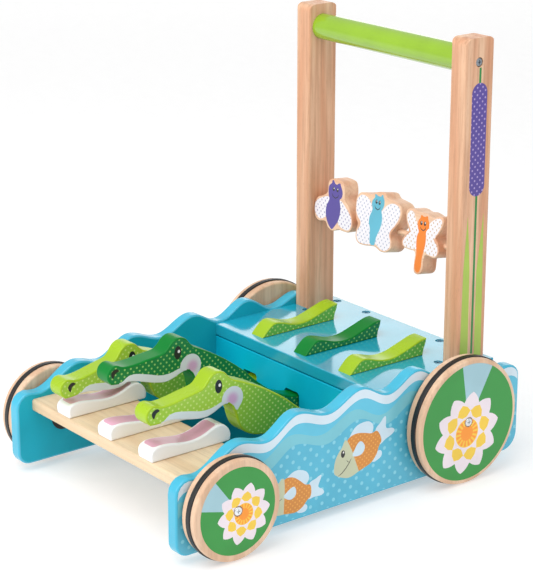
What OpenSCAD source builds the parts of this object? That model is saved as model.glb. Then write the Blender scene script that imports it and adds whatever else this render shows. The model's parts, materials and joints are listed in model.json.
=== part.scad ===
// Wooden push-along baby walker with three snapping alligator heads,
// a lidded mechanism box, a handle frame and three spinning insects.
// Millimetres. X to the right, Y to the back, Z up, floor at Z 0.

/* [Body] */
// Length of each side panel
body_length = 435; // [425:1:445]
// Clear width between the side panels
inner_w = 260; // [258:1:262]
// Thickness of each side panel
panel_t = 14; // [12:0.5:16]
// Height of the side panels' lower edge above the floor
panel_z = 9; // [7:0.5:10]
// Thickness of the plain wood board at the front
board_t = 12.5; // [10:0.5:14]
// Height of the top of the front board
board_top = 78.3; // [78:0.1:79]
// Thickness of the box lid
lid_t = 12.6; // [10:0.2:14]
// Height of the top of the lid
lid_top = 110; // [109:0.5:111]

/* [Wheels] */
// Front wheel diameter over the rubber ring
front_wheel_d = 102; // [98:1:106]
// Rear wheel diameter over the rubber ring
rear_wheel_d = 134; // [130:1:138]
// Width of every wheel
wheel_w = 20.4; // [18:0.2:24]
// Width of the rubber ring in each rim
tire_w = 6.5; // [5:0.5:7]
// Diameter of the wooden axles
axle_d = 12; // [10:1:13]

/* [Handle frame] */
// Height of the post tops
post_top = 445; // [430:1:470]
// Thickness of each post from side to side
post_w = 22; // [20:0.5:22]
// Depth of each post from front to back
post_d = 38; // [34:0.5:38]
// Diameter of the round handle bar
handle_d = 27.4; // [24:0.2:30]
// Height of the handle bar's axis
handle_z = 421; // [405:1:425]
// Height of the rod that carries the insects
rod_z = 225; // [222:1:240]

/* [Alligators] */
// Thickness of each head, jaw and tail
head_t = 20; // [16:0.5:22]
// Sideways spacing of the three heads
head_pitch = 71; // [68:1:72]
// How far the left head is lifted from half open, in degrees
lift_left = -3.4; // [-4.4:0.1:4.4]
// How far the middle head is lifted from half open, in degrees
lift_middle = 4; // [-4.4:0.1:4.4]
// How far the right head is lifted from half open, in degrees
lift_right = 0; // [-4.4:0.1:4.4]

/* [Insects] */
// Thickness of each insect block
bug_t = 20; // [14:0.5:22]
// How far the bee leans back, in degrees
bee_tilt = 5; // [0:1:15]
// How far the butterfly leans back, in degrees
butterfly_tilt = 10; // [0:1:15]
// How far the dragonfly leans back, in degrees
dragonfly_tilt = 8; // [0:1:15]

/* [Hidden] */
$fn = 64;
eps = 0.5;

half_in = inner_w / 2;
half_out = half_in + panel_t;
half_len = body_length / 2;

// axle places: front wheels and rear wheels
front_y = -164;
front_z = front_wheel_d / 2;
rear_y = 125.4;
rear_z = rear_wheel_d / 2;
axle_r = axle_d / 2;
wheel_gap = 2.6;
wheel_x = half_out + wheel_gap;
wheel_out = wheel_x + wheel_w;
tire_proud = 1.2;
tire_shift = 0.75;
tire_depth = 2.6;
hub_depth = 14;
run = 0.06;

// box between the side panels
box_y0 = 32.5;
box_y1 = 193.2;
box_z0 = 10;
box_t = 12;
floor_t = 6;
bottom_y0 = -108;
lid_z0 = lid_top - lid_t;
front_y0 = 33;
rear_y0 = 180.6;
slot_w = head_t + 4;
slot_z0 = 36;
slot_z1 = 72.5;
slot_cut = 2.5;
lid_gap = 1.5;

// front board
board_y0 = -199.5;
board_y1 = -114.8;

// handle posts
post_yc = 160;
post_y0 = 142;
post_x0 = half_in - post_w;
post_z0 = box_z0 + floor_t;
post_edge_r = 3;
post_top_r = 8.5;
socket = 5;
rod_r = 3;
rod_in = 10;

// head pivot
pivot_y = 62;
pivot_z = 58;
pivot_r = 4;
pivot_in = 7;
spacer_r = 7;
spacer_gap = 0.4;

// cams on the rear axle, lobe angle counted from straight up
cam_r = 16;
cam_off = 6;
cam_w = 16;
cam_left = 30;
cam_middle = 150;
cam_right = 270;

// bushings
bush_r = 9;
flange_r = 13;
flange_t = 1.5;
bush_proud = 2.2;

// wavy top edge of a side panel: crests and troughs in order
wave = [
    [-217.5, 70], [-203, 85.5], [-191, 84], [-142, 106], [-113, 100],
    [-74, 119], [-38, 110], [4, 125.5], [39, 112], [76, 127.4],
    [113, 111.3], [149, 121], [176, 100], [201, 103.3], [217.5, 90]
];
panel_front_r = 14;
panel_rear_r = 19;

// head outline at half open: top of the snout to the neck
head_top = [
    [-199.5, 116], [-203.6, 120.3], [-204.9, 126], [-203.2, 131.2], [-198.8, 134.6],
    [-193.5, 134.8], [-187.5, 132.7], [-180, 132.5], [-170, 133.7], [-160, 135.6],
    [-150, 137.2], [-141, 139], [-136.4, 142.3], [-133, 146.4], [-129.2, 150.2],
    [-124.5, 152.2], [-118.5, 152], [-113, 149.5], [-108.5, 144.6], [-103.5, 140.6],
    [-96, 137.4], [-79.5, 130], [-61, 120], [-41, 107], [-20.5, 90.7], [0, 77.6],
    [20, 69.8], [38, 67.5]
];
// arm behind the slot, down to the toe under the cam
head_arm = [
    [62, 72], [76, 62], [91.4, 49.4], [102.6, 40.4], [138.5, 37.3],
    [137.5, 26.3], [97.7, 29.8], [80, 38], [62, 44.5]
];
// underside of the arm, belly and throat
head_belly = [
    [38, 46.5], [10, 50.5], [-15, 58], [-38, 68], [-55, 73.5], [-68, 75],
    [-79, 77.5], [-88.7, 82.5], [-95, 89], [-98.6, 97], [-101, 105.5], [-104.6, 112.6]
];
// upper jaw from the mouth corner to the nose
head_mouth = [
    [-109.2, 116.6], [-113.4, 117], [-119, 115.2], [-127, 111.5], [-137, 109.2],
    [-150, 110.7], [-162, 113.4], [-172, 115.7], [-181, 116.4], [-191, 115.6], [-199.5, 116]
];

// lower jaw block: top line from the front to the rear
jaw_top = [
    [-199, 79.8], [-199.6, 86], [-197.6, 90.6], [-193, 93], [-187.5, 93.6],
    [-181, 93.2], [-173, 92], [-164.5, 90.5], [-157, 89.6], [-149.5, 89.6], [-142, 90.8],
    [-135, 93], [-128.5, 95.8], [-122.5, 97.6], [-117, 97.6], [-112, 94.9],
    [-108, 90.3], [-106.3, 85], [-106.8, 79.8]
];
jaw_front = -198;
jaw_rear = -108.8;
jaw_w = 23;
// middles of the three jaws, glued on by hand and so not quite in step with the heads
jaw_left_x = -72.5;
jaw_middle_x = 0.5;
jaw_right_x = 69;

// tail block: top line from the front to the tip and down the back
tail_top = [
    [43.5, 111], [48, 115.8], [54.5, 121.3], [61, 123.5], [70, 121.8], [82, 118],
    [93, 116.3], [104, 117], [116, 120.3], [128, 124], [138, 127], [145.6, 127.6]
];
tail_back = [[144.6, 122.5], [142.2, 117], [141, 111.5]];

// insects: outline across X and up from the rod
bee_line = [
    [-87.5, 20], [-87, 31], [-81.5, 35.5], [-71.5, 35.8], [-63, 34], [-59.8, 26],
    [-59, 17], [-52.6, 11.4], [-45.5, 1], [-43.8, -8.5], [-48, -16], [-57, -17.2],
    [-65, -17], [-71, -19.3], [-76, -20.4], [-83, -18.1], [-88, -12.5],
    [-97.9, -14.2], [-104.8, -11], [-107.3, -4], [-107, 4.5], [-102.8, 11.3], [-95, 14.5]
];
butterfly_line = [
    [-42, 13], [-42.2, 22], [-38.5, 28.3], [-30.6, 30.3], [-21, 29.8], [-15, 33.5],
    [-8, 35.8], [0, 36], [5.5, 32], [14, 31], [24, 29], [29, 23], [28.7, 13],
    [22, 3], [17.5, -4], [20.5, -12], [20.7, -18.5], [14.3, -23.8], [5, -24.8],
    [-3.4, -22], [-12.8, -23], [-20.3, -24.2], [-30.2, -23.9], [-35.5, -18.5],
    [-35.8, -9.3], [-34.8, -4], [-39, 1.5]
];
dragonfly_line = [
    [36.5, 24], [40.3, 29], [48, 30], [56, 28.5], [63, 29.5], [70, 28.6], [77, 27],
    [84.6, 30.3], [91, 30], [92.3, 23.8], [89.2, 15.7], [84, 7.5], [89.1, 1.8],
    [90.7, -6.6], [85.6, -12.9], [78.3, -12.7], [72, -13], [70.2, -19], [70.1, -30],
    [64.2, -34.8], [58.2, -33], [57, -24], [56, -13], [47.1, -12.5], [38, -11.5],
    [34.7, -5.8], [38.5, 0.3], [43.5, 6.7], [39.5, 13.4]
];

// screw places
lid_screws_at = [[-108, 184.5], [-59, 184.5], [59, 184.5], [108, 184.5], [-106, 139], [106, 139]];
board_screws_at = [[-185, 72], [-130, 72]];
rear_screws_at = [[184.5, 45], [184.5, 80]];
post_screws_at = [[160, 40], [160, 95]];
dowels_at = [[39, 25], [39, 84]];
dowel_r = 4;
screw_r = 2;
screw_head_r = 4.4;
screw_head_h = 2.2;
screw_seat = 2.6;
lid_hole_r = 4.7;
long_shank = 40;
lid_shank = 22;
wheel_shank = 18;
post_shank = 26;
wheel_seat = 1.5;

// ---- curves ----

function curve_at(a, b, c, d, t) = 0.5 * (2 * b + (c - a) * t
    + (2 * a - 5 * b + 4 * c - d) * t * t + (3 * b - a - 3 * c + d) * t * t * t);

function open_curve(p, n) = [
    for (i = [0 : len(p) - 2], k = [0 : n - 1])
        curve_at(p[max(i - 1, 0)], p[i], p[i + 1], p[min(i + 2, len(p) - 1)], k / n),
    p[len(p) - 1]
];

function closed_curve(p, n) = [
    for (i = [0 : len(p) - 1], k = [0 : n - 1])
        curve_at(p[(i + len(p) - 1) % len(p)], p[i], p[(i + 1) % len(p)],
            p[(i + 2) % len(p)], k / n)
];

function arc(cy, cz, r, a0, a1, n) = [
    for (i = [0 : n]) let (a = a0 + (a1 - a0) * i / n) [cy + r * cos(a), cz + r * sin(a)]
];

function wave_span(i) = wave[i + 1][0] - wave[i][0];

// half cosine from one crest or trough to the next, a quarter round at both ends
function wave_z(i, t) = wave[i][1] + (wave[i + 1][1] - wave[i][1])
    * (i == 0 ? sin(90 * t) : i == len(wave) - 2 ? 1 - cos(90 * t) : (1 - cos(180 * t)) / 2);

function wave_y(i, t) = wave[i][0] + wave_span(i)
    * (i == 0 ? 1 - cos(90 * t) : i == len(wave) - 2 ? sin(90 * t) : t);

function wave_line() = [
    for (i = [0 : len(wave) - 2])
        let (n = ceil(wave_span(i) / 4))
        for (k = [0 : n - 1])
            [wave_y(i, k / n) * body_length / 435, wave_z(i, k / n)],
    [half_len, wave[len(wave) - 1][1]]
];

// ---- helpers ----

// extrude a (Y, Z) outline along X
module along_x(x0, x1) {
    translate([x0, 0, 0])
        rotate([90, 0, 90])
        linear_extrude(x1 - x0)
        children();
}

module x_rod(x0, x1, y, z, r) {
    translate([x0, y, z])
        rotate([0, 90, 0])
        cylinder(r = r, h = x1 - x0);
}

module both_sides() {
    children();
    mirror([1, 0, 0]) children();
}

// bar along X with rounded long edges
module eased_bar(x0, x1, y0, y1, z0, z1, r) {
    along_x(x0, x1)
        polygon(concat(
            arc(y0 + r, z0 + r, r, 180, 270, 4), arc(y1 - r, z0 + r, r, 270, 360, 4),
            arc(y1 - r, z1 - r, r, 0, 90, 4), arc(y0 + r, z1 - r, r, 90, 180, 4)));
}

// round-headed cross-slot screw: head seat at Z 0, shank down
module screw(shank) {
    difference() {
        union() {
            translate([0, 0, -shank]) cylinder(r = screw_r, h = shank + eps);
            rotate_extrude()
                polygon(concat([[0, 0], [screw_head_r, 0]],
                    arc(screw_head_r - 1.2, screw_head_h - 1.2, 1.2, 0, 90, 5),
                    [[0, screw_head_h]]));
        }
        for (a = [0, 90])
            rotate(a)
                translate([-2.2, -0.45, screw_head_h - 1.3])
                cube([4.4, 0.9, 2]);
    }
}

// screw driven inwards through the right side of the body
module side_screw(x, y, z, shank) {
    translate([x, y, z]) rotate([0, 90, 0]) screw(shank);
}

module side_screw_hole(x, y, z, shank) {
    x_rod(x - shank, x + eps, y, z, screw_r);
    x_rod(x, x + 2 * screw_seat, y, z, screw_head_r + 0.4);
}

// ---- body ----

module side_outline() {
    polygon(concat(
        arc(-half_len + panel_front_r, panel_z + panel_front_r, panel_front_r, 270, 180, 8),
        wave_line(),
        arc(half_len - panel_rear_r, panel_z + panel_rear_r, panel_rear_r, 0, -90, 10)));
}

module side_panel_shape() {
    difference() {
        along_x(half_in, half_out) side_outline();
        x_rod(half_in - 1, half_out + 1, front_y, front_z, bush_r);
        x_rod(half_in - 1, half_out + 1, rear_y, rear_z, bush_r);
        x_rod(half_in - 1, half_in + pivot_in, pivot_y, pivot_z, pivot_r);
        for (p = dowels_at) x_rod(half_in - 1, half_in + pivot_in, p[0], p[1], dowel_r);
        for (p = concat(board_screws_at, rear_screws_at, post_screws_at))
            side_screw_hole(half_out - screw_seat, p[0], p[1], long_shank);
    }
}

module side_panel_right() {
    color([0.18, 0.62, 0.78]) side_panel_shape();
}

module side_panel_left() {
    color([0.18, 0.62, 0.78]) mirror([1, 0, 0]) side_panel_shape();
}

module front_board() {
    color([0.88, 0.74, 0.55])
    difference() {
        eased_bar(-half_in, half_in, board_y0, board_y1, board_top - board_t, board_top, 2.5);
        both_sides()
            for (p = board_screws_at) side_screw_hole(half_out - screw_seat, p[0], p[1], long_shank);
    }
}

// slot for an arm, its top corners cut off
module arm_slot(x) {
    half = slot_w / 2;
    translate([x, front_y0 + box_t + 1, 0])
        rotate([90, 0, 0])
        linear_extrude(box_t + 2)
        polygon([[-half, slot_z0], [half, slot_z0], [half, slot_z1 - slot_cut],
            [half - slot_cut, slot_z1], [slot_cut - half, slot_z1], [-half, slot_z1 - slot_cut]]);
}

module box_front_panel() {
    color([0.1, 0.58, 0.74])
    difference() {
        eased_bar(-half_in, half_in, front_y0, front_y0 + box_t, box_z0 + floor_t, lid_z0 - lid_gap, 1);
        for (x = [-head_pitch, 0, head_pitch]) arm_slot(x);
        both_sides()
            for (p = dowels_at) x_rod(118, half_in + 1, p[0], p[1], dowel_r);
    }
}

module box_rear_panel() {
    color([0.12, 0.55, 0.7])
    difference() {
        translate([-half_in, rear_y0, box_z0]) cube([inner_w, box_t, lid_z0 - box_z0]);
        both_sides()
            for (p = rear_screws_at) side_screw_hole(half_out - screw_seat, p[0], p[1], long_shank);
        lid_screw_holes();
    }
}

// floor of the box, reaching forwards under the heads
module bottom_board() {
    color([0.1, 0.58, 0.74])
        translate([-half_in, bottom_y0, box_z0])
        cube([inner_w, rear_y0 - bottom_y0, floor_t]);
}

module lid_screw_holes() {
    for (p = lid_screws_at)
        translate([p[0], p[1], lid_top - screw_seat - lid_shank])
        cylinder(r = screw_r, h = lid_shank + 1);
}

module box_lid() {
    color([0.42, 0.75, 0.86])
    difference() {
        eased_bar(-half_in, half_in, box_y0, box_y1, lid_z0, lid_top, 1);
        both_sides()
            translate([post_x0, post_y0, lid_z0 - 1]) cube([post_w + 1, post_d, lid_t + 2]);
        lid_screw_holes();
        for (p = lid_screws_at)
            translate([p[0], p[1], lid_top - screw_seat]) cylinder(r = lid_hole_r, h = 5);
    }
}

module corner_block_shape() {
    difference() {
        translate([98, 118, 81]) cube([half_in - 98, post_y0 - 118, lid_z0 - 81]);
        lid_screw_holes();
    }
}

module corner_block_right() {
    color([0.78, 0.62, 0.42]) corner_block_shape();
}

module corner_block_left() {
    color([0.78, 0.62, 0.42]) mirror([1, 0, 0]) corner_block_shape();
}

// ---- handle frame ----

module post_shape() {
    e = post_edge_r;
    top_r = post_top_r;
    x1 = half_in;
    y1 = post_y0 + post_d;
    difference() {
        intersection() {
            translate([0, 0, post_z0])
                linear_extrude(post_top - post_z0)
                polygon(concat(
                    arc(post_x0 + e, post_y0 + e, e, 180, 270, 4), arc(x1 - e, post_y0 + e, e, 270, 360, 4),
                    arc(x1 - e, y1 - e, e, 0, 90, 4), arc(post_x0 + e, y1 - e, e, 90, 180, 4)));
            along_x(post_x0 - 1, x1 + 1)
                polygon(concat([[post_y0 - 1, 0], [y1 + 1, 0], [y1 + 1, post_top - top_r], [y1, post_top - top_r]],
                    arc(y1 - top_r, post_top - top_r, top_r, 0, 90, 6),
                    arc(post_y0 + top_r, post_top - top_r, top_r, 90, 180, 6),
                    [[post_y0 - 1, post_top - top_r]]));
        }
        x_rod(post_x0 - 1, post_x0 + socket, post_yc, handle_z, handle_d / 2);
        x_rod(post_x0 - 1, post_x0 + rod_in, post_yc, rod_z, rod_r);
        side_screw_hole(x1 - screw_seat, post_yc, handle_z, long_shank);
        for (p = post_screws_at) x_rod(post_x0 + 6, x1 + 1, p[0], p[1], screw_r);
    }
}

module post_right() {
    color([0.86, 0.7, 0.5]) post_shape();
}

module post_left() {
    color([0.86, 0.7, 0.5]) mirror([1, 0, 0]) post_shape();
}

module handle_bar() {
    color([0.5, 0.78, 0.2])
    difference() {
        x_rod(-post_x0 - socket, post_x0 + socket, post_yc, handle_z, handle_d / 2);
        both_sides() side_screw_hole(half_in - screw_seat, post_yc, handle_z, long_shank);
    }
}

module insect_rod() {
    color([0.8, 0.62, 0.4])
        x_rod(-post_x0 - rod_in, post_x0 + rod_in, post_yc, rod_z, rod_r);
}

// ---- insects ----

module insect(line, tilt) {
    translate([0, post_yc, rod_z])
        rotate([-tilt, 0, 0])
        difference() {
            translate([0, bug_t / 2, 0])
                rotate([90, 0, 0])
                linear_extrude(bug_t)
                polygon(closed_curve(line, 3));
            x_rod(-post_x0, post_x0, 0, 0, rod_r + run);
        }
}

module bee() {
    color([0.46, 0.36, 0.68]) insect(bee_line, bee_tilt);
}

module butterfly() {
    color([0.4, 0.75, 0.83]) insect(butterfly_line, butterfly_tilt);
}

module dragonfly() {
    color([0.95, 0.55, 0.15]) insect(dragonfly_line, dragonfly_tilt);
}

// ---- alligators ----

module head_outline() {
    polygon(concat(open_curve(head_top, 3), head_arm, open_curve(head_belly, 3),
        open_curve(head_mouth, 3)));
}

module alligator(x, lift) {
    translate([0, pivot_y, pivot_z])
        rotate([-lift, 0, 0])
        translate([0, -pivot_y, -pivot_z])
        difference() {
            along_x(x - head_t / 2, x + head_t / 2) head_outline();
            x_rod(x - head_t, x + head_t, pivot_y, pivot_z, pivot_r + run);
        }
}

module alligator_left() {
    color([0.55, 0.78, 0.25]) alligator(-head_pitch, lift_left);
}

module alligator_middle() {
    color([0.1, 0.5, 0.25]) alligator(0, lift_middle);
}

module alligator_right() {
    color([0.55, 0.78, 0.25]) alligator(head_pitch, lift_right);
}

module lower_jaw(x) {
    color([0.95, 0.93, 0.92])
        along_x(x - jaw_w / 2, x + jaw_w / 2)
        polygon(concat([[jaw_front, board_top]], open_curve(jaw_top, 3), [[jaw_rear, board_top]]));
}

module lower_jaw_left() {
    lower_jaw(jaw_left_x);
}

module lower_jaw_middle() {
    lower_jaw(jaw_middle_x);
}

module lower_jaw_right() {
    lower_jaw(jaw_right_x);
}

module tail(x) {
    along_x(x - head_t / 2, x + head_t / 2)
        polygon(concat([[42.8, lid_top]], open_curve(tail_top, 3), tail_back, [[140.8, lid_top]]));
}

module tail_left() {
    color([0.62, 0.8, 0.25]) tail(-head_pitch);
}

module tail_middle() {
    color([0.1, 0.5, 0.25]) tail(0);
}

module tail_right() {
    color([0.62, 0.8, 0.25]) tail(head_pitch);
}

module pivot_rod() {
    color([0.8, 0.62, 0.4])
        x_rod(-half_in - pivot_in, half_in + pivot_in, pivot_y, pivot_z, pivot_r);
}

module arm_spacers() {
    edge = head_pitch - head_t / 2 - spacer_gap;
    outer = head_pitch + head_t / 2 + spacer_gap;
    inner = head_t / 2 + spacer_gap;
    color([0.85, 0.8, 0.7])
    both_sides()
    difference() {
        union() {
            x_rod(inner, edge, pivot_y, pivot_z, spacer_r);
            x_rod(outer, half_in, pivot_y, pivot_z, spacer_r);
        }
        x_rod(0, half_in + 1, pivot_y, pivot_z, pivot_r);
    }
}

// ---- axles, cams and wheels ----

module axle(y, z) {
    end = wheel_x + hub_depth;
    color([0.82, 0.66, 0.45])
    difference() {
        x_rod(-end, end, y, z, axle_r);
        both_sides() x_rod(wheel_out - wheel_seat - wheel_shank, end + 1, y, z, screw_r);
    }
}

module front_axle() {
    axle(front_y, front_z);
}

module rear_axle() {
    axle(rear_y, rear_z);
}

module cam(x, a) {
    color([0.75, 0.58, 0.38])
    difference() {
        x_rod(x - cam_w / 2, x + cam_w / 2, rear_y + cam_off * sin(a), rear_z + cam_off * cos(a), cam_r);
        x_rod(x - cam_w, x + cam_w, rear_y, rear_z, axle_r);
    }
}

module cam_left() {
    cam(-head_pitch, cam_left);
}

module cam_middle() {
    cam(0, cam_middle);
}

module cam_right() {
    cam(head_pitch, cam_right);
}

module wheel(y, z, d) {
    r = d / 2 - tire_proud;
    e = 2.5;
    g0 = (wheel_w - tire_w) / 2 + tire_shift;
    g1 = g0 + tire_w;
    color([0.86, 0.7, 0.5])
    translate([wheel_x, y, z])
        rotate([0, 90, 0])
        difference() {
            rotate_extrude($fn = 96)
                polygon(concat([[0, 0]], arc(r - e, e, e, -90, 0, 5),
                    [[r, g0], [r - tire_depth, g0], [r - tire_depth, g1], [r, g1]],
                    arc(r - e, wheel_w - e, e, 0, 90, 5), [[0, wheel_w]]));
            translate([0, 0, -1]) cylinder(r = axle_r, h = hub_depth + 1);
            cylinder(r = screw_r, h = wheel_w + 1);
            translate([0, 0, wheel_w - wheel_seat]) cylinder(r = screw_head_r + 0.8, h = 3);
        }
}

module tire(y, z, d) {
    r = d / 2;
    in = r - tire_proud - tire_depth;
    g0 = (wheel_w - tire_w) / 2 + tire_shift;
    color([0.12, 0.11, 0.11])
    translate([wheel_x, y, z])
        rotate([0, 90, 0])
        rotate_extrude($fn = 96)
        polygon(concat([[in, g0], [r - 1.2, g0]], arc(r - 1.2, g0 + 1.2, 1.2, -90, 0, 3),
            arc(r - 1.2, g0 + tire_w - 1.2, 1.2, 0, 90, 3), [[in, g0 + tire_w]]));
}

module bushing(y, z) {
    color([0.2, 0.16, 0.15])
    difference() {
        union() {
            x_rod(half_in - flange_t, half_in, y, z, flange_r);
            x_rod(half_in - flange_t, half_out + bush_proud, y, z, bush_r);
        }
        x_rod(half_in - 5, half_out + 5, y, z, axle_r + run);
    }
}

module front_wheel_right() {
    wheel(front_y, front_z, front_wheel_d);
}

module front_wheel_left() {
    mirror([1, 0, 0]) wheel(front_y, front_z, front_wheel_d);
}

module rear_wheel_right() {
    wheel(rear_y, rear_z, rear_wheel_d);
}

module rear_wheel_left() {
    mirror([1, 0, 0]) wheel(rear_y, rear_z, rear_wheel_d);
}

module front_tire_right() {
    tire(front_y, front_z, front_wheel_d);
}

module front_tire_left() {
    mirror([1, 0, 0]) tire(front_y, front_z, front_wheel_d);
}

module rear_tire_right() {
    tire(rear_y, rear_z, rear_wheel_d);
}

module rear_tire_left() {
    mirror([1, 0, 0]) tire(rear_y, rear_z, rear_wheel_d);
}

module front_bushing_right() {
    bushing(front_y, front_z);
}

module front_bushing_left() {
    mirror([1, 0, 0]) bushing(front_y, front_z);
}

module rear_bushing_right() {
    bushing(rear_y, rear_z);
}

module rear_bushing_left() {
    mirror([1, 0, 0]) bushing(rear_y, rear_z);
}

// ---- fasteners ----

module front_wheel_screws() {
    color([0.78, 0.79, 0.8])
        both_sides() side_screw(wheel_out - wheel_seat, front_y, front_z, wheel_shank);
}

module rear_wheel_screws() {
    color([0.78, 0.79, 0.8])
        both_sides() side_screw(wheel_out - wheel_seat, rear_y, rear_z, wheel_shank);
}

module handle_screws() {
    color([0.78, 0.79, 0.8])
        both_sides() side_screw(half_in - screw_seat, post_yc, handle_z, long_shank);
}

module lid_screws() {
    color([0.1, 0.45, 0.55])
        for (p = lid_screws_at)
            translate([p[0], p[1], lid_top - screw_seat]) screw(lid_shank);
}

module board_screws() {
    color([0.7, 0.71, 0.72])
        both_sides()
        for (p = board_screws_at) side_screw(half_out - screw_seat, p[0], p[1], long_shank);
}

module rear_panel_screws() {
    color([0.7, 0.71, 0.72])
        both_sides()
        for (p = rear_screws_at) side_screw(half_out - screw_seat, p[0], p[1], long_shank);
}

module post_screws() {
    color([0.7, 0.71, 0.72])
        both_sides()
        for (p = post_screws_at) side_screw(half_out - screw_seat, p[0], p[1], post_shank);
}

module panel_dowels() {
    color([0.8, 0.62, 0.4])
        both_sides()
        for (p = dowels_at) x_rod(118, half_in + pivot_in, p[0], p[1], dowel_r);
}

side_panel_left();
side_panel_right();
front_board();
box_front_panel();
box_rear_panel();
bottom_board();
box_lid();
corner_block_left();
corner_block_right();
post_left();
post_right();
handle_bar();
insect_rod();
bee();
butterfly();
dragonfly();
alligator_left();
alligator_middle();
alligator_right();
lower_jaw_left();
lower_jaw_middle();
lower_jaw_right();
tail_left();
tail_middle();
tail_right();
pivot_rod();
arm_spacers();
front_axle();
rear_axle();
cam_left();
cam_middle();
cam_right();
front_wheel_left();
front_wheel_right();
rear_wheel_left();
rear_wheel_right();
front_tire_left();
front_tire_right();
rear_tire_left();
rear_tire_right();
front_bushing_left();
front_bushing_right();
rear_bushing_left();
rear_bushing_right();
front_wheel_screws();
rear_wheel_screws();
handle_screws();
lid_screws();
board_screws();
rear_panel_screws();
post_screws();
panel_dowels();
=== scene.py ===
"""Wooden baby walker: paint, prints, wood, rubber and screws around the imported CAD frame."""
import json
import math

import bpy
from mathutils import Matrix, Vector
from mathutils.geometry import delaunay_2d_cdt


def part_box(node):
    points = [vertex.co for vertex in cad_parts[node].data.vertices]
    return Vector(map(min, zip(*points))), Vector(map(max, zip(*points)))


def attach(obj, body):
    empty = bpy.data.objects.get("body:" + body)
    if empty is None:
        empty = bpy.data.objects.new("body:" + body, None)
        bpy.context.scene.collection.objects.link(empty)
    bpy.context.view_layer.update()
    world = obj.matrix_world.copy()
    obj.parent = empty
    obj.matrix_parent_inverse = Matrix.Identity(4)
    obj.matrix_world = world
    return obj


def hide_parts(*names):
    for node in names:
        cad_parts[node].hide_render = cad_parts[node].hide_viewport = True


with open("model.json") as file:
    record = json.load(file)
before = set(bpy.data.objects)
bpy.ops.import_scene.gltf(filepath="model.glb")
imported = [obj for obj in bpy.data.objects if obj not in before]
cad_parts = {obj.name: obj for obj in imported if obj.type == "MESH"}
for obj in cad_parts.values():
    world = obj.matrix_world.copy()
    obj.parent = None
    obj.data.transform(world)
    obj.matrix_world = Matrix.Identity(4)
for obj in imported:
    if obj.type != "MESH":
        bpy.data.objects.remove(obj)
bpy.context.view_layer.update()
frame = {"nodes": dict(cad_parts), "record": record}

MM = 0.001
PRINT_LIFT = 0.05
HEAD_LIFT = {"left": -3.4, "middle": 4, "right": 0}
JAW_PLACE = {"left": -72.5, "middle": 0.5, "right": 69}
BUG_TILT = {"bee": 5, "butterfly": 10, "dragonfly": 8}
HEAD_PIVOT = Vector((0, 62, 58)) * MM
BUG_ROD = Vector((0, 160, 225)) * MM
SIDES = {"left": -1, "right": 1}


# ---- camera, floor and light ----

CAMERA_AZIMUTH = math.radians(51.89)
CAMERA_ELEVATION = math.radians(18.18)
CAMERA_LENS = 124.3
CAMERA_PLACE = (1.50701, -1.18214, 0.81651)


def make_camera():
    back = Vector((
        math.sin(CAMERA_AZIMUTH) * math.cos(CAMERA_ELEVATION),
        -math.cos(CAMERA_AZIMUTH) * math.cos(CAMERA_ELEVATION),
        math.sin(CAMERA_ELEVATION),
    ))
    camera = bpy.data.objects.new("camera", bpy.data.cameras.new("camera"))
    camera.data.lens = CAMERA_LENS
    camera.location = CAMERA_PLACE
    camera.rotation_euler = (-back).to_track_quat("-Z", "Y").to_euler()
    bpy.context.collection.objects.link(camera)
    bpy.context.scene.camera = camera


ROOM_STRENGTH = 0.62
FLOOR_SIZE = 24
FLOOR_GREYS = (0.62, 0.62, 0.62, 1), (0.66, 0.66, 0.66, 1)
FLOOR_GLOW = 0.66
# name: place, target, size in metres and power in watts
LIGHTS = {
    "overhead_key": ((0.3, -1.0, 1.9), (0, 0, 0.1), (1.6, 1.6), 22),
    "backdrop_glow": ((-3.4, 2.65, 1.05), (0, 0, 0.3), (5.0, 1.35), 24),
    "front_fill": ((-0.7, -2.3, 1.1), (0, 0, 0.15), (1.4, 1.4), 18),
    "side_fill": ((1.7, 0.3, 1.4), (0, 0, 0.1), (1.4, 1.4), 5),
}


def area_light(name, place, target, size, power):
    light = bpy.data.lights.new(name, "AREA")
    light.shape = "RECTANGLE"
    light.size, light.size_y = size
    light.energy = power
    lamp = bpy.data.objects.new(name, light)
    lamp.location = place
    lamp.rotation_euler = (Vector(target) - Vector(place)).to_track_quat("-Z", "Y").to_euler()
    lamp.visible_camera = False
    bpy.context.collection.objects.link(lamp)


def make_studio():
    scene = bpy.context.scene
    scene.view_settings.view_transform = "Standard"
    world = bpy.data.worlds.new("soft_room")
    world.use_nodes = True
    background = world.node_tree.nodes["Background"]
    background.inputs["Color"].default_value = (1, 1, 1, 1)
    background.inputs["Strength"].default_value = ROOM_STRENGTH
    scene.world = world
    for name, (place, target, size, power) in LIGHTS.items():
        area_light(name, place, target, size, power)
    bpy.ops.mesh.primitive_plane_add(size=FLOOR_SIZE)
    floor = bpy.context.active_object
    floor.name = "floor"
    finish = Finish("floor_paper")
    paper = finish.mix(finish.noise(finish.place, 40, 2), *FLOOR_GREYS)
    finish.feed(finish.shader.inputs["Base Color"], paper)
    finish.feed(finish.shader.inputs["Emission Color"], paper)
    finish.shader.inputs["Emission Strength"].default_value = FLOOR_GLOW
    finish.shader.inputs["Roughness"].default_value = 0.9
    floor.data.materials.append(finish.material)


# ---- finishes ----

ALLIGATOR_DOTS = (7.0, 7.0)
WING_DASHES = (5.8, 6.4)
WING_WHITE = (0.84, 0.80, 0.84, 1.0)
STRIP_MIDDLE = -158.5
STRIP_HALF_WIDTH = 5.2
STRIP_HALF_LENGTH = 32.5
PAINT_GRAIN = (1.0, 0.06, 1.0)
GRAIN_STRETCH = 0.045
PORE_STRETCH = 0.12


def srgb(red, green, blue):
    """A screen colour, each part from 0 to 255, as the linear colour that shaders take."""
    def linear(part):
        part /= 255
        return part / 12.92 if part <= 0.04045 else ((part + 0.055) / 1.055) ** 2.4
    return (linear(red), linear(green), linear(blue), 1.0)


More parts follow.
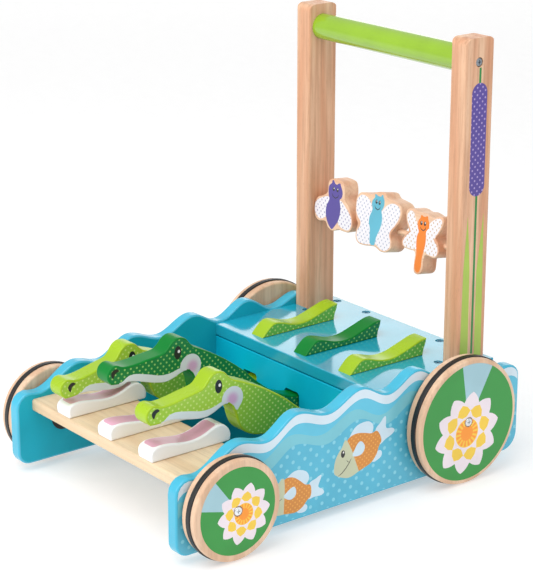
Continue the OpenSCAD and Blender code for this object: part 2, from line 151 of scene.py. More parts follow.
def shaded(colour, factor):
    return tuple(min(1.0, part * factor) for part in colour[:3]) + (1.0,)


class Finish:
    """One material's node tree, with short calls for the nodes that the finishes share."""

    def __init__(self, name):
        self.material = bpy.data.materials.new(name)
        self.material.use_nodes = True
        self.nodes = self.material.node_tree.nodes
        self.links = self.material.node_tree.links
        self.shader = self.nodes["Principled BSDF"]
        coordinates = self.nodes.new("ShaderNodeTexCoord")
        self.place = coordinates.outputs["Object"]
        self.normal = coordinates.outputs["Normal"]

    def feed(self, socket, value):
        if isinstance(value, bpy.types.NodeSocket):
            self.links.new(value, socket)
        else:
            socket.default_value = value

    def math(self, operation, first, second=0.0, third=0.0):
        node = self.nodes.new("ShaderNodeMath")
        node.operation = operation
        for socket, value in zip(node.inputs, (first, second, third)):
            self.feed(socket, value)
        return node.outputs[0]

    def axes(self, vector):
        node = self.nodes.new("ShaderNodeSeparateXYZ")
        self.feed(node.inputs[0], vector)
        return node.outputs[0], node.outputs[1], node.outputs[2]

    def scaled(self, factors):
        node = self.nodes.new("ShaderNodeVectorMath")
        node.operation = "MULTIPLY"
        self.feed(node.inputs[0], self.place)
        node.inputs[1].default_value = factors
        return node.outputs[0]

    def noise(self, vector, scale, detail, roughness=0.5):
        node = self.nodes.new("ShaderNodeTexNoise")
        self.feed(node.inputs["Vector"], vector)
        node.inputs["Scale"].default_value = scale
        node.inputs["Detail"].default_value = detail
        node.inputs["Roughness"].default_value = roughness
        return node.outputs["Fac"]

    def step(self, value, start, end, low=0.0, high=1.0):
        """A soft step: low up to start, high from end on."""
        node = self.nodes.new("ShaderNodeMapRange")
        node.interpolation_type = "SMOOTHSTEP"
        for socket, given in zip(node.inputs, (value, start, end, low, high)):
            self.feed(socket, given)
        return node.outputs[0]

    def mix(self, factor, first, second):
        node = self.nodes.new("ShaderNodeMix")
        node.data_type = "RGBA"
        self.feed(node.inputs["Factor"], factor)
        self.feed(node.inputs[6], first)
        self.feed(node.inputs[7], second)
        return node.outputs[2]

    def bump(self, height, distance, strength):
        node = self.nodes.new("ShaderNodeBump")
        node.inputs["Strength"].default_value = strength
        node.inputs["Distance"].default_value = distance
        self.feed(node.inputs["Height"], height)
        self.feed(self.shader.inputs["Normal"], node.outputs[0])

    def lattice(self, across, up, pitch, start=(0.0, 0.0)):
        """Offsets from the nearest points of the two grids that make up a staggered lattice, in metres."""
        offsets = []
        for shift in (0.5, 0.0):
            pair = []
            for value, step, origin in ((across, pitch[0], start[0]), (up, pitch[1], start[1])):
                place = self.math("DIVIDE", self.math("SUBTRACT", value, origin * MM), step * MM)
                cell = self.math("FRACT", self.math("ADD", place, shift))
                pair.append(self.math("MULTIPLY", self.math("SUBTRACT", cell, 0.5), step * MM))
            offsets.append(pair)
        return offsets

    def dots(self, across, up, pitch, radius, start=(0.0, 0.0)):
        """1 inside a staggered lattice of round dots and 0 between them."""
        masks = []
        for pair in self.lattice(across, up, pitch, start):
            squares = [self.math("MULTIPLY", offset, offset) for offset in pair]
            distance = self.math("SQRT", self.math("ADD", squares[0], squares[1]))
            masks.append(self.step(distance, 1.25 * radius * MM, 0.75 * radius * MM))
        return self.math("MAXIMUM", masks[0], masks[1])

    def dashes(self, across, up, pitch, length, width):
        """1 inside a staggered lattice of short slanting dashes, the two grids slanting opposite ways."""
        masks = []
        for lean, (right, rise) in zip((0.6, -0.35), self.lattice(across, up, pitch)):
            along = self.math("ADD", rise, self.math("MULTIPLY", right, lean))
            beside = self.math("SUBTRACT", right, self.math("MULTIPLY", rise, lean))
            ends = self.step(self.math("ABSOLUTE", along), 0.55 * length * MM, 0.4 * length * MM)
            sides = self.step(self.math("ABSOLUTE", beside), 0.6 * width * MM, 0.35 * width * MM)
            masks.append(self.math("MULTIPLY", ends, sides))
        return self.math("MAXIMUM", masks[0], masks[1])


def wood(name, pale, dark, grain, contrast=1.0):
    """Clear-lacquered beech: long colour bands, fine fibres and short dark pores along the grain."""
    finish = Finish(name)
    along = finish.scaled(tuple(GRAIN_STRETCH if axis == grain else 1.0 for axis in "xyz"))
    pore_place = finish.scaled(tuple(PORE_STRETCH if axis == grain else 1.0 for axis in "xyz"))
    bands = finish.step(finish.noise(along, 55, 2), 0.32, 0.68)
    streaks = finish.step(finish.noise(along, 260, 3, 0.6), 0.4, 0.72)
    fibres = finish.noise(along, 900, 2)
    pores = finish.step(finish.noise(pore_place, 1150, 1), 0.63, 0.72)
    colour = finish.mix(bands, pale, dark)
    colour = finish.mix(finish.math("MULTIPLY", streaks, 0.38 * contrast), colour, shaded(dark, 0.72))
    colour = finish.mix(finish.math("MULTIPLY", pores, 0.2), colour, shaded(dark, 0.5))
    finish.feed(finish.shader.inputs["Base Color"], colour)
    finish.feed(finish.shader.inputs["Roughness"], finish.step(fibres, 0.3, 0.7, 0.36, 0.52))
    finish.bump(finish.math("SUBTRACT", fibres, finish.math("MULTIPLY", pores, 0.5)), 0.12 * MM, 0.5)
    return finish.material


def coated(finish, colour, roughness, coat, shine=0.5):
    """A paint film of a given colour, with the wood's grain and the spray's ripple just visible."""
    finish.feed(finish.shader.inputs["Base Color"], colour)
    cloud = finish.noise(finish.place, 30, 3)
    fibres = finish.noise(finish.scaled(PAINT_GRAIN), 420, 2)
    ripple = finish.noise(finish.place, 700, 1)
    dull = finish.step(cloud, 0.3, 0.7, roughness, roughness + 0.08)
    finish.feed(finish.shader.inputs["Roughness"], dull)
    finish.shader.inputs["Specular IOR Level"].default_value = shine
    finish.shader.inputs["Coat Weight"].default_value = coat
    finish.shader.inputs["Coat Roughness"].default_value = 0.08
    finish.bump(finish.math("ADD", fibres, finish.math("MULTIPLY", ripple, 0.6)), 0.05 * MM, 0.35)
    return finish.material


def mottled(finish, colour, depth):
    """The colour with faint clouds, as a sprayed film of uneven thickness has."""
    cloud = finish.step(finish.noise(finish.place, 26, 3), 0.3, 0.7)
    return finish.mix(cloud, shaded(colour, 1 - depth), shaded(colour, 1 + depth * 0.5))


def paint(name, colour, roughness=0.3, coat=0.4, shine=0.5):
    finish = Finish(name)
    return coated(finish, mottled(finish, colour, 0.06), roughness, coat, shine)


def ink(name, colour):
    """Flat printed colour under a thin clear lacquer."""
    finish = Finish(name)
    return coated(finish, mottled(finish, colour, 0.06), 0.34, 0.2)


def dotted_ink(name, colour, dot, pitch, radius, start=(0.0, 0.0)):
    """Printed colour with a staggered lattice of small dots across Y and Z, in millimetres."""
    finish = Finish(name)
    _, across, up = finish.axes(finish.place)
    mask = finish.dots(across, up, pitch, radius, start)
    return coated(finish, finish.mix(mask, mottled(finish, colour, 0.06), dot), 0.34, 0.2)


def alligator_side(name, head, body, dot):
    """Dotted print, lighter at the head than at the body."""
    finish = Finish(name)
    _, across, up = finish.axes(finish.place)
    mask = finish.dots(across, up, ALLIGATOR_DOTS, 1.0)
    colour = finish.mix(finish.step(across, -0.125, -0.03), head, body)
    return coated(finish, finish.mix(mask, colour, dot), 0.34, 0.2)


def wing_ink(name, dash):
    """White print with small slanting dashes."""
    finish = Finish(name)
    across, _, up = finish.axes(finish.place)
    mask = finish.dashes(across, up, WING_DASHES, 2.3, 1.25)
    return coated(finish, finish.mix(finish.math("MULTIPLY", mask, 0.9), WING_WHITE, dash), 0.4, 0.15)


def cheek_ink(name, centre, rim, middle):
    """A soft round blush: the middle colour fades into the rim colour."""
    finish = Finish(name)
    _, across, up = finish.axes(finish.place)
    squares = []
    for value, origin in ((across, centre[0]), (up, centre[1])):
        offset = finish.math("SUBTRACT", value, origin * MM)
        squares.append(finish.math("MULTIPLY", offset, offset))
    distance = finish.math("SQRT", finish.math("ADD", squares[0], squares[1]))
    return coated(finish, finish.mix(finish.step(distance, 2.5 * MM, 9.5 * MM), middle, rim), 0.3, 0.35)


def jaw_paint(name, middle, white, pink):
    """White jaw, its middle given across X, with a soft pink strip along its curved top."""
    finish = Finish(name)
    x, y, _ = finish.axes(finish.place)
    squares = []
    for value, centre, half in ((x, middle, STRIP_HALF_WIDTH), (y, STRIP_MIDDLE, STRIP_HALF_LENGTH)):
        offset = finish.math("ABSOLUTE", finish.math("SUBTRACT", value, centre * MM))
        beyond = finish.math("MAXIMUM", finish.math("SUBTRACT", offset, half * MM), 0.0)
        squares.append(finish.math("MULTIPLY", beyond, beyond))
    distance = finish.math("SQRT", finish.math("ADD", squares[0], squares[1]))
    top = finish.step(finish.axes(finish.normal)[2], 0.5, 0.7)
    mask = finish.math("MULTIPLY", finish.step(distance, 4.4 * MM, 3.7 * MM), top)
    colour = finish.mix(mask, mottled(finish, white, 0.03), mottled(finish, pink, 0.1))
    return coated(finish, colour, 0.32, 0.3)


def rubber(name, dark, pale):
    finish = Finish(name)
    grit = finish.noise(finish.place, 900, 2)
    cloud = finish.noise(finish.place, 60, 2)
    finish.feed(finish.shader.inputs["Base Color"], finish.mix(cloud, dark, pale))
    finish.feed(finish.shader.inputs["Roughness"], finish.step(grit, 0.3, 0.7, 0.34, 0.5))
    finish.bump(grit, 0.06 * MM, 0.4)
    return finish.material


def plastic(name, colour):
    finish = Finish(name)
    grit = finish.noise(finish.place, 1300, 2)
    finish.feed(finish.shader.inputs["Base Color"], mottled(finish, colour, 0.15))
    finish.feed(finish.shader.inputs["Roughness"], finish.step(grit, 0.3, 0.7, 0.42, 0.58))
    finish.bump(grit, 0.05 * MM, 0.4)
    return finish.material


def metal(name, colour, metallic):
    """Zinc-plated or painted steel with fine turning marks."""
    finish = Finish(name)
    marks = finish.noise(finish.place, 1600, 3)
    finish.feed(finish.shader.inputs["Base Color"], mottled(finish, colour, 0.2))
    finish.feed(finish.shader.inputs["Roughness"], finish.step(marks, 0.3, 0.7, 0.22, 0.42))
    finish.shader.inputs["Metallic"].default_value = metallic
    finish.bump(marks, 0.04 * MM, 0.4)
    return finish.material


# ---- printed boards ----

EASE_STEPS = 4
SHARP_TURN = math.cos(math.radians(38))
SAME_LEVEL = 0.01
BODY_OF = {node: body for body, nodes in frame["record"]["behaviour"]["bodies"].items() for node in nodes}


def area(loop):
    """Twice the signed area of a closed loop, positive when it runs anticlockwise."""
    return sum(here.x * after.y - after.x * here.y for here, after in zip(loop, loop[1:] + loop[:1]))


def anticlockwise(loop):
    """The loop in flat coordinates, turned round if it ran clockwise."""
    loop = [Vector(point[:2]) for point in loop]
    return loop if area(loop) > 0 else loop[::-1]


def key_of(point):
    return (point.x, point.y)


def snapped(points):
    """The points, with those that share a place across and up given exactly the same numbers."""
    known, result = {}, []
    for point in points:
        cell = (round(point.x * 10), round(point.y * 10))
        near = [place for right in (-1, 0, 1) for rise in (-1, 0, 1)
                for place in known.get((cell[0] + right, cell[1] + rise), ())
                if math.hypot(place[0] - point.x, place[1] - point.y) < 0.01]
        if not near:
            near.append(key_of(point))
            known.setdefault(cell, []).append(near[0])
        result.append(Vector((near[0][0], near[0][1], point.z)))
    return result


def rims(points, polygons):
    """The closed loops round a group of flat faces, the largest first."""
    edges = set()
    for polygon in polygons:
        keys = [key_of(points[i]) for i in polygon.vertices]
        edges.update(zip(keys, keys[1:] + keys[:1]))
    follow = {start: end for start, end in edges if (end, start) not in edges and start != end}
    loops = []
    while follow:
        start, here = follow.popitem()
        loop = [start]
        while here != start:
            loop.append(here)
            here = follow.pop(here)
        loops.append(anticlockwise([Vector(point) for point in loop]))
    return sorted(loops, key=area, reverse=True)


class Board:
    """A board-cut CAD node, seen with its printed face upright: across, up and out, in millimetres.

    axes turns across, up and out into the piece's own axes, and pose puts the piece in its place.
    """

    def __init__(self, node, axes, pose):
        self.node, self.axes, self.pose = node, axes, pose
        self.mesh = frame["nodes"][node].data
        self.turn = (pose.to_3x3() @ axes).inverted()
        self.points = snapped([self.turn @ (vertex.co - pose.translation) / MM
                               for vertex in self.mesh.vertices])
        heights = [point.z for point in self.points]
        self.levels = max(heights), min(heights)
        self.flats = [[polygon for polygon in self.mesh.polygons
                       if all(abs(self.points[i].z - level) < SAME_LEVEL for i in polygon.vertices)]
                      for level in self.levels]
        self.outline = rims(self.points, self.flats[0])[0]


def outward(loop):
    """For each point of an anticlockwise loop, the outward direction of the two edges that meet there."""
    edges = [(after - here).normalized() for here, after in zip(loop, loop[1:] + loop[:1])]
    sides = [Vector((edge.y, -edge.x)) for edge in edges]
    return list(zip(sides[-1:] + sides[:-1], sides))


def inset(loop, gap):
    """The loop moved inwards by the gap."""
    moved = []
    for point, (before, after) in zip(loop, outward(loop)):
        middle = (before + after).normalized()
        moved.append(point - middle * gap / max(0.55, middle.dot(before)))
    return moved


def regions(outer, holes, shapes):
    """Cuts a flat face into triangles, each with the number of the last shape over it, or 0 for bare."""
    points, faces = [], []
    for loop in [outer] + holes + shapes:
        loop = anticlockwise(loop)
        faces.append(list(range(len(points), len(points) + len(loop))))
        points.extend(loop)
    corners, _, triangles, _, _, owners = delaunay_2d_cdt(points, [], faces, 1, 1e-5)
    first_shape = 1 + len(holes)
    kept = []
    for triangle, owner in zip(triangles, owners):
        if 0 in owner and not any(0 < number < first_shape for number in owner):
            kept.append((triangle, max(max(owner) - first_shape + 1, 0)))
    return corners, kept


def on_edge(corners, start, end):
    """The corners that lie strictly between the two ends of an edge, in order."""
    edge = end - start
    found = []
    for corner in corners:
        share = (corner - start).dot(edge) / edge.length_squared
        if 1e-4 < share < 1 - 1e-4 and (corner - start - edge * share).length < 1e-3:
            found.append((share, corner))
    return [corner for _, corner in sorted(found, key=lambda pair: pair[0])]


class Mesh:
    """Collects a mesh in millimetres, with its own corner normals."""

    def __init__(self):
        self.corners, self.known = [], {}
        self.faces, self.paints, self.normals = [], [], []

    def corner(self, point):
        key = tuple(round(part, 4) for part in point)
        if key not in self.known:
            self.known[key] = len(self.corners)
            self.corners.append(Vector(point))
        return self.known[key]

    def face(self, points, normals, paint):
        ids, kept = [], []
        for number, normal in zip((self.corner(point) for point in points), normals):
            if number not in ids:
                ids.append(number)
                kept.append(normal)
        if len(ids) > 2:
            self.faces.append(ids)
            self.normals.append(kept)
            self.paints.append(paint)

    def make(self, name, materials, axes, pose):
        """The object, its axes turned into its own and itself put in its pose."""
        flipped = axes.determinant() < 0
        faces = [ids[::-1] if flipped else ids for ids in self.faces]
        groups = [group[::-1] if flipped else group for group in self.normals]
        normals = [axes @ normal for group in groups for normal in group]
        mesh = bpy.data.meshes.new(name)
        mesh.from_pydata([axes @ corner * MM for corner in self.corners], [], faces)
        mesh.polygons.foreach_set("material_index", self.paints)
        for material in materials:
            mesh.materials.append(material)
        mesh.shade_smooth()
        mesh.normals_split_custom_set(normals)
        piece = bpy.data.objects.new(name, mesh)
        piece.matrix_world = pose
        bpy.context.collection.objects.link(piece)
        return piece


def inside(point, loop):
    """Whether a point lies inside a closed loop."""
    crossings = 0
    for here, after in zip(loop, loop[1:] + loop[:1]):
        if (here.y > point.y) != (after.y > point.y):
            share = (point.y - here.y) / (after.y - here.y)
            crossings += point.x < here.x + share * (after.x - here.x)
    return crossings % 2 == 1


def add_walls(mesh, board, radius):
    """The board's own walls, shortened to leave room for the rounded rims."""
    source, turn = board.mesh, board.turn
    sides = dict(zip((key_of(point) for point in board.outline), outward(board.outline)))
    on_flat = {polygon.index for group in board.flats for polygon in group}
    flipped = board.axes.determinant() < 0
    for polygon in source.polygons:
        if polygon.index in on_flat:
            continue
        facing = (turn @ polygon.normal).normalized()
        corners, normals = [], []
        for loop in polygon.loop_indices:
            point = board.points[source.loops[loop].vertex_index].copy()
            normal = (turn @ source.corner_normals[loop].vector).normalized()
            if key_of(point) in sides:
                before, after = sides[key_of(point)]
                normal = (before + after).normalized().to_3d() if before.dot(after) > SHARP_TURN else facing
                for level, inwards in zip(board.levels, (-1, 1)):
                    if abs(point.z - level) < SAME_LEVEL:
                        point.z = level + inwards * radius
            corners.append(point)
            normals.append(normal)
        if flipped:
            corners, normals = corners[::-1], normals[::-1]
        mesh.face(corners, normals, 0)


def add_rim(mesh, outer, radius, level, up, flat_corners, wrap):
    """The rounded rim between the walls and one flat face, meeting each corner of the face's edge."""
    rim = inset(outer, radius)
    edges = outward(outer)
    out = Vector((0, 0, up))
    angles = [math.pi / 2 * step / EASE_STEPS for step in range(EASE_STEPS + 1)]
    loops = [inset(outer, radius * (1 - math.cos(angle))) for angle in angles]
    heights = [level - up * radius * (1 - math.sin(angle)) for angle in angles]
    for i in range(len(outer)):
        j = (i + 1) % len(outer)
        ends = []
        for before, after in (edges[i], edges[j]):
            ends.append((before + after).normalized() if before.dot(after) > SHARP_TURN else edges[i][1])
        colour = wrap[0] if wrap and inside((outer[i] + outer[j]) / 2, wrap[1]) else 0
        for step in range(EASE_STEPS):
            quad, lean = [], []
            for k, ring in ((0, step), (1, step), (1, step + 1), (0, step + 1)):
                place = loops[ring][j if k else i]
                quad.append(Vector((place.x, place.y, heights[ring])))
                lean.append((ends[k] * math.cos(angles[ring])).to_3d() + out * math.sin(angles[ring]))
            if step == EASE_STEPS - 1:
                extra = on_edge(flat_corners, rim[j], rim[i])
                quad[3:3] = [Vector((place.x, place.y, level)) for place in extra]
                lean[3:3] = [out] * len(extra)
            if up < 0:
                quad, lean = quad[::-1], lean[::-1]
            mesh.face(quad, lean, colour)


def printed(board, radius, wall, prints, wrap=None):
    """Stands for a board: its rims rounded and its two flat faces printed.

    prints holds, for the face at the high end of out and then the one at the low end, a bare material
    and [(material, loop), ...]. wrap is one of these shapes, whose colour also runs round the rims.
    """
    mesh = Mesh()
    materials = [wall]
    add_walls(mesh, board, radius)
    for level, up, group, (bare, shapes) in zip(board.levels, (1, -1), board.flats, prints):
        paints = []
        for material in [bare] + [material for material, _ in shapes]:
            if material not in materials:
                materials.append(material)
            paints.append(materials.index(material))
        rim = inset(board.outline, radius)
        holes = rims(board.points, group)[1:]
        corners, triangles = regions(rim, holes, [shape for _, shape in shapes])
        out = Vector((0, 0, up))
        for triangle, region in triangles:
            ids = triangle if up > 0 else triangle[::-1]
            points = [corners[i].to_3d() + Vector((0, 0, level)) for i in ids]
            mesh.face(points, [out] * 3, paints[region])
        rim_wrap = (materials.index(wrap[0]), wrap[1]) if wrap else None
        add_rim(mesh, board.outline, radius, level, up, corners, rim_wrap)

    piece = mesh.make(board.node + "_painted", materials, board.axes, board.pose)
    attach(piece, BODY_OF[board.node])
    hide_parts(board.node)


def skin(name, node, axes, level, outer, holes, shapes):
    """A thin print just above a flat face of a node, level being the face's place along out."""
    mesh = Mesh()
    materials = []
    for material, _ in shapes:
        if material not in materials:
            materials.append(material)
    corners, triangles = regions(outer, holes, [shape for _, shape in shapes])
    lift = Vector((0, 0, level + PRINT_LIFT))
    for triangle, region in triangles:
        if region:
            paint_number = materials.index(shapes[region - 1][0])
            mesh.face([corners[i].to_3d() + lift for i in triangle], [Vector((0, 0, 1))] * 3, paint_number)
    piece = mesh.make(name, materials, axes, AT_REST)
    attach(piece, BODY_OF[node])


# ---- shapes for the prints, in millimetres ----

def smooth(points, steps=4):
    """A closed curve through the points."""
    points = [Vector(point) for point in points]
    count = len(points)
    curve = []
    for i in range(count):
        a, b, c, d = (points[(i + k - 1) % count] for k in range(4))
        for step in range(steps):
            t = step / steps
            curve.append(0.5 * (2 * b + (c - a) * t + (2 * a - 5 * b + 4 * c - d) * t ** 2
                                + (3 * b - a - 3 * c + d) * t ** 3))
    return curve


def ellipse(centre, wide, high, count=24):
    angles = [2 * math.pi * i / count for i in range(count)]
    return [Vector(centre) + Vector((wide * math.cos(a), high * math.sin(a))) for a in angles]


def stroke(points, width):
    """A thin line through the points, tapered at both ends."""
    points = [Vector(point) for point in points]
    left, right = [], []
    for i, point in enumerate(points):
        along = (points[min(i + 1, len(points) - 1)] - points[max(i - 1, 0)]).normalized()
        share = 0.35 if i in (0, len(points) - 1) else 1
        side = Vector((-along.y, along.x)) * width / 2 * share
        left.append(point + side)
        right.append(point - side)
    return left + right[::-1]


def polar(centre, radius, degrees):
    angle = math.radians(degrees)
    return Vector(centre) + radius * Vector((math.cos(angle), math.sin(angle)))


def mapped(loop, middle, centre, size, degrees):
    """The loop turned and scaled about its middle, which goes to the centre."""
    turn = Matrix.Rotation(math.radians(degrees), 2)
    return [Vector(centre) + turn @ (Vector(point) - Vector(middle)) * size for point in loop]


def above(line, shift, drop, margin=30, top=200):
    """Everything above a line of points moved forwards by shift and down by drop, past the board's edges."""
    moved = [Vector((point.x - shift, point.y - drop)) for point in line]
    left, right = moved[0].x - margin, moved[-1].x + margin
    return ([Vector((left, moved[0].y))] + moved
            + [Vector((right, moved[-1].y)), Vector((right, top)), Vector((left, top))])


# columns: across, up and out of a printed face
ACROSS_Y = Matrix(((0, 0, 1), (1, 0, 0), (0, 1, 0)))
ACROSS_Y_LEFT = Matrix(((0, 0, -1), (1, 0, 0), (0, 1, 0)))
ACROSS_X = Matrix(((1, 0, 0), (0, 0, -1), (0, 1, 0)))
AT_REST = Matrix.Identity(4)


# ---- plain finishes on the CAD nodes ----

WOOD_PALE = srgb(238, 200, 168)
WOOD_DARK = srgb(220, 162, 126)
BLACK = srgb(28, 24, 26)
WHITE = srgb(244, 243, 243)
LIME = srgb(162, 197, 30)
GREEN = srgb(0, 126, 46)


def finished(material, *nodes):
    """Gives the CAD nodes a material."""
    for node in nodes:
        slots = frame["nodes"][node].data.materials
        slots.clear()
        slots.append(material)


def finish_nodes():
    finished(paint("box_blue", srgb(0, 188, 222), 0.4, 0.05, 0.25), "box_front_panel", "box_rear_panel")
    # the bottom board has the box's own blue paint; its colour here is much darker, as painted shade for the
    # dim pit under the heads
    finished(paint("bottom_blue_painted_shade", srgb(0, 101, 114), 0.4, 0.05, 0.25), "bottom_board")
    finished(paint("lid_blue", srgb(30, 170, 200), 0.12, 1.0), "box_lid")
    finished(paint("handle_green", srgb(142, 184, 30), 0.14, 0.7), "handle_bar")
    finished(wood("board_wood", srgb(238, 214, 180), srgb(226, 196, 158), "x"), "front_board")
    finished(wood("post_wood", srgb(234, 195, 161), srgb(212, 153, 116), "z", contrast=1.7),
             "post_left", "post_right")
    finished(wood("wheel_wood", srgb(235, 202, 172), srgb(219, 178, 145), "z"),
             "front_wheel_left", "front_wheel_right", "rear_wheel_left", "rear_wheel_right")
    finished(wood("rod_wood", WOOD_PALE, WOOD_DARK, "x"),
             "insect_rod", "pivot_rod", "front_axle", "rear_axle", "panel_dowels")
    finished(wood("plain_wood", srgb(214, 180, 136), srgb(196, 158, 112), "y"),
             "corner_block_left", "corner_block_right", "cam_left", "cam_middle", "cam_right")
    finished(rubber("black_rubber", srgb(16, 15, 16), srgb(28, 26, 26)),
             "front_tire_left", "front_tire_right", "rear_tire_left", "rear_tire_right")
    finished(plastic("black_plastic", srgb(40, 34, 32)),
             "front_bushing_left", "front_bushing_right", "rear_bushing_left", "rear_bushing_right",
             "arm_spacers")
    finished(metal("bright_screw", srgb(222, 226, 230), 0.8), "front_wheel_screws", "rear_wheel_screws")
    finished(metal("zinc_screw", srgb(150, 158, 166), 1.0),
             "handle_screws", "board_screws", "rear_panel_screws", "post_screws")
    finished(metal("blue_screw", srgb(14, 118, 150), 0.3), "lid_screws")


# ---- side panels: waves and fish ----

PANEL_EDGE = paint("panel_edge", srgb(58, 182, 214))
PANEL_INSIDE = paint("panel_inside", srgb(16, 172, 198), 0.4, 0.05, 0.25)
WATER = dotted_ink("water_print", srgb(82, 184, 214), srgb(130, 208, 228),
                   pitch=(14.4, 14.9), radius=1.9, start=(-66.6, 84.9))
WAVE_WHITE = ink("wave_white", srgb(214, 232, 244))
WAVE_SKY = ink("wave_sky", srgb(92, 196, 226))
WAVE_TEAL = ink("wave_teal", srgb(118, 198, 214))
FISH_FACE = ink("fish_face", srgb(199, 204, 172))
FISH_BODY = dotted_ink("fish_body", srgb(216, 138, 50), srgb(234, 168, 72), pitch=(5.6, 5.6), radius=0.85)
FISH_FIN = ink("fish_fin", srgb(205, 228, 242))
LINE_BLACK = ink("line_black", BLACK)
SPOT_WHITE = ink("spot_white", WHITE)

PANEL_EASE = 2.2
CREST_LEVEL = 68
# the upper fish's middle, then each fish's middle, size and turn in degrees
FISH_MIDDLE = (-6.2, 56.3)
FISH_PLACES = [(FISH_MIDDLE, 1.0, 0.0), ((-92.2, 36.4), 0.91, -24.5)]
# the face: a curve from the brow round the snout to the chin, and the edge between face and body
FACE_CURVE = smooth([(-13.9, 74.9), (-20.8, 69.2), (-27.2, 61.3), (-29.9, 53.5), (-30.1, 45), (-26.9, 41.5),
                     (-23, 39.2), (-13.9, 35.9), (-6.1, 36.4), (1.9, 39.2)])[:-7]
FACE_EDGE = [(-13.9, 74.9), (-10.5, 68.7), (-6.5, 60.2), (-3.1, 50.7), (1.5, 39.2)]
FISH_SHAPES = [
    (FISH_FIN, smooth([(22, 76.5), (28.4, 83.4), (33.6, 88.6), (35.6, 86.5), (35.9, 76.2), (43.2, 74.4),
                       (46.9, 71.3), (44.1, 67.7), (35.5, 64.4), (27, 61)])),
    (FISH_FIN, smooth([(-11.3, 75), (-6.9, 83.7), (-0.5, 88), (7.3, 89.2), (13.8, 88.1), (18.5, 83.8),
                       (18.9, 78.4), (14, 70), (0, 70)])),
    (FISH_FIN, smooth([(17, 46), (21.3, 50.7), (25.1, 54.1), (28.4, 54.4), (30.9, 51.6), (29.9, 47.5),
                       (25.3, 44.9), (20.7, 44)])),
    (FISH_BODY, smooth([(-13.9, 74.9), (-8.1, 78.7), (-0.3, 79.4), (8.8, 77.4), (16.7, 75.1), (22, 76.1),
                        (25.3, 74.8), (28.7, 69.4), (29.9, 63.7), (27, 59.1), (23.9, 51.2), (17.4, 44.3),
                        (9.6, 41.4), (1.9, 39.4), (-6.1, 38), (-10, 50), (-14, 66)])),
    (FISH_FACE, FACE_CURVE + FACE_EDGE[:0:-1]),
    (FISH_FIN, smooth([(-7.1, 57.7), (-4.6, 62.9), (-0.8, 68.3), (3.1, 70.2), (7.1, 66.9), (8.6, 62.2),
                       (6.6, 57.9), (2.7, 55.7), (-3.2, 55.9)])),
    (LINE_BLACK, ellipse((-19.2, 62.4), 2.6, 3.9)),
    (SPOT_WHITE, ellipse((-18.6, 63.9), 0.8, 1.1, 10)),
    (LINE_BLACK, stroke([(-24.9, 40.7), (-20.4, 42.5), (-15.3, 46.5), (-11.5, 50.8), (-8.3, 55.3)], 0.9)),
    (LINE_BLACK, stroke([(-14.6, 54.8), (-12.9, 52.9), (-10.9, 51.5)], 0.7)),
]


def print_side_panel(side):
    board = Board("side_panel_" + side, ACROSS_Y if side == "right" else ACROSS_Y_LEFT, AT_REST)
    crest = sorted((point for point in board.outline if point.y > CREST_LEVEL), key=lambda point: point.x)
    shapes = [
        (WAVE_TEAL, above(crest, 3, 32)),
        (WAVE_SKY, above(crest, 9, 20.7)),
        (WAVE_WHITE, above(crest, 0, 11.3)),
    ]
    for centre, size, degrees in FISH_PLACES:
        for material, loop in FISH_SHAPES:
            shapes.append((material, mapped(loop, FISH_MIDDLE, centre, size, degrees)))
    printed(board, PANEL_EASE, PANEL_EDGE, [(WATER, shapes), (PANEL_INSIDE, [])])


# ---- alligators ----

HEAD_EASE = 1.7
TAIL_EASE = 1.3
JAW_EASE = 2.0
CHEEK = (-104.9, 121.0)
NOSTRIL = [(-196.8, 122.6), (-198.3, 125.3), (-198.6, 127.8), (-197.2, 130), (-194.3, 131.5),
           (-191.5, 131.3), (-189.5, 129.1), (-191.2, 128.3), (-193.5, 127.1), (-194.8, 124.9),
           (-195.8, 122.7)]
LIP = [(-188, 116), (-186.1, 117.3), (-183.2, 119.1), (-180.9, 121), (-178, 122.6), (-172.3, 123.4),
       (-166.5, 122.8), (-155, 120.4), (-143.4, 117.5), (-137.5, 116.9), (-131.6, 117.2), (-125.7, 118.3),
       (-119.8, 120.4), (-110, 122), (-109.5, 104), (-186, 104)]
LIP_WHITE = ink("lip_white", srgb(220, 230, 234))
BLUSH = cheek_ink("cheek_blush", CHEEK, srgb(218, 224, 230), srgb(214, 170, 208))
HEAD_SHAPES = [
    (LIP_WHITE, LIP),
    (BLUSH, ellipse(CHEEK, 12.7, 12.7, 40)),
    (BLUSH, [(-112, 112), (-98.6, 108.4), (-93.5, 115.5), (-104, 121)]),
    (LINE_BLACK, ellipse((-121.2, 137.3), 4.2, 6.9)),
    (SPOT_WHITE, ellipse((-119.9, 138.4), 1.5, 1.7, 14)),
    (LINE_BLACK, smooth(NOSTRIL, 3)),
]
TONES = {"left": "light", "middle": "dark", "right": "light"}
PRINT_SHIFTS = {"left": (2.6, -0.6), "middle": (-2.4, 0.2), "right": (0, 0)}


